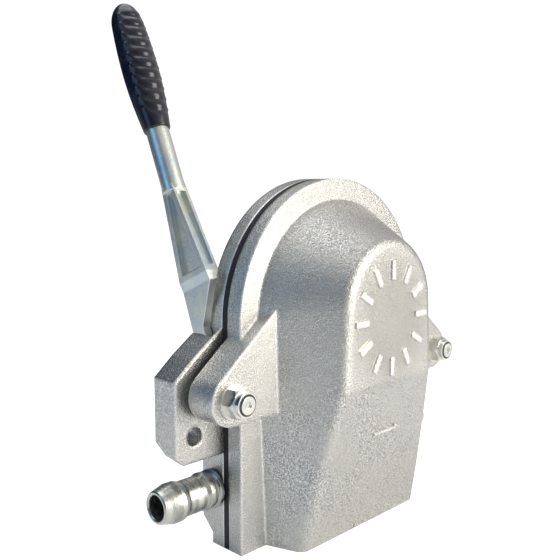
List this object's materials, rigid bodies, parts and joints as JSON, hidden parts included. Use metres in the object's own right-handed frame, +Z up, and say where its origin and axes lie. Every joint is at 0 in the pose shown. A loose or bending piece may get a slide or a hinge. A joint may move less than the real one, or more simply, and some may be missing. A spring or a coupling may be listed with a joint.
{
  "type": "double action hand pump",
  "caption": "Horseshoe-shaped cast hand pump: domed cover on a flat rear housing with side lugs, rocking lever with ribbed grip, barbed hose tails left and right.",
  "frame": {"origin": "on the flat back of the rear housing, midway between the two mounting holes", "axes": "+Z up towards the lever's grip, +X to the right seen from the cover's side, +Y out of the flat back"},
  "size_m": [0.302, 0.1849, 0.392],
  "materials": {
    "cast_body": "coarse sand-cast, tumbled",
    "lever_steel": "bright zinc plated",
    "fixing_steel": "bright zinc plated, machined",
    "tail_steel": "machined and plated",
    "shaft_steel": "ground stainless",
    "rocker_cast": "cast, as machined",
    "bush_bronze": "sintered bronze",
    "black_rubber": "moulded",
    "valve_rubber": "moulded sheet",
    "grip_vinyl": "dipped glossy vinyl",
    "plate_plastic": "moulded acetal",
    "plug_plastic": "moulded nylon"
  },
  "bodies": {
    "pump_body": {"rear_body": "cast_body", "front_cover": "cast_body", "cover_studs": "fixing_steel", "cover_washers": "fixing_steel", "cover_nuts": "fixing_steel", "diaphragm": "black_rubber", "shaft_bush_left": "bush_bronze", "shaft_bush_right": "bush_bronze", "shaft_seal_left": "black_rubber", "shaft_seal_right": "black_rubber", "shaft_end_plug": "plug_plastic", "inlet_hose_tail": "tail_steel", "outlet_hose_tail": "tail_steel", "inlet_sealing_ring": "black_rubber", "outlet_sealing_ring": "black_rubber", "inlet_valve_plate": "plate_plastic", "inlet_flap_strips": "shaft_steel", "inlet_flap_rivets": "shaft_steel", "outlet_valve_plate": "plate_plastic", "outlet_flap_strips": "shaft_steel", "outlet_flap_rivets": "shaft_steel"},
    "lever_and_rocker": {"drive_shaft": "shaft_steel", "handle_lever": "lever_steel", "lever_pin": "shaft_steel", "handle_grip": "grip_vinyl", "rocker": "rocker_cast", "rocker_pin": "shaft_steel", "upper_clamp_disc": "shaft_steel", "lower_clamp_disc": "shaft_steel", "upper_clamp_screw": "shaft_steel", "lower_clamp_screw": "shaft_steel"},
    "inlet_flap_upper_valve": {"inlet_flap_upper": "valve_rubber"},
    "inlet_flap_lower_valve": {"inlet_flap_lower": "valve_rubber"},
    "outlet_flap_upper_valve": {"outlet_flap_upper": "valve_rubber"},
    "outlet_flap_lower_valve": {"outlet_flap_lower": "valve_rubber"}
  },
  "joints": [
    {"name": "lever_swing", "type": "hinge", "parent": "pump_body", "child": "lever_and_rocker", "pos_m": [0, -0.0122, 0.048], "axis": [1, 0, 0], "range_deg": [0, 22], "deforming": ["diaphragm"]},
    {"name": "inlet_upper_valve_open", "type": "hinge", "parent": "pump_body", "child": "inlet_flap_upper_valve", "pos_m": [-0.0425, -0.047, 0.098], "axis": [0, -1, 0], "range_deg": [0, 25], "stiffness_Nm_per_rad": 0.004},
    {"name": "inlet_lower_valve_open", "type": "hinge", "parent": "pump_body", "child": "inlet_flap_lower_valve", "pos_m": [-0.0425, -0.047, 0.022], "axis": [0, -1, 0], "range_deg": [0, 25], "stiffness_Nm_per_rad": 0.004},
    {"name": "outlet_upper_valve_open", "type": "hinge", "parent": "pump_body", "child": "outlet_flap_upper_valve", "pos_m": [0.0495, -0.047, 0.098], "axis": [0, -1, 0], "range_deg": [0, 25], "stiffness_Nm_per_rad": 0.004},
    {"name": "outlet_lower_valve_open", "type": "hinge", "parent": "pump_body", "child": "outlet_flap_lower_valve", "pos_m": [0.0495, -0.047, 0.022], "axis": [0, -1, 0], "range_deg": [0, 25], "stiffness_Nm_per_rad": 0.004}
  ]
}
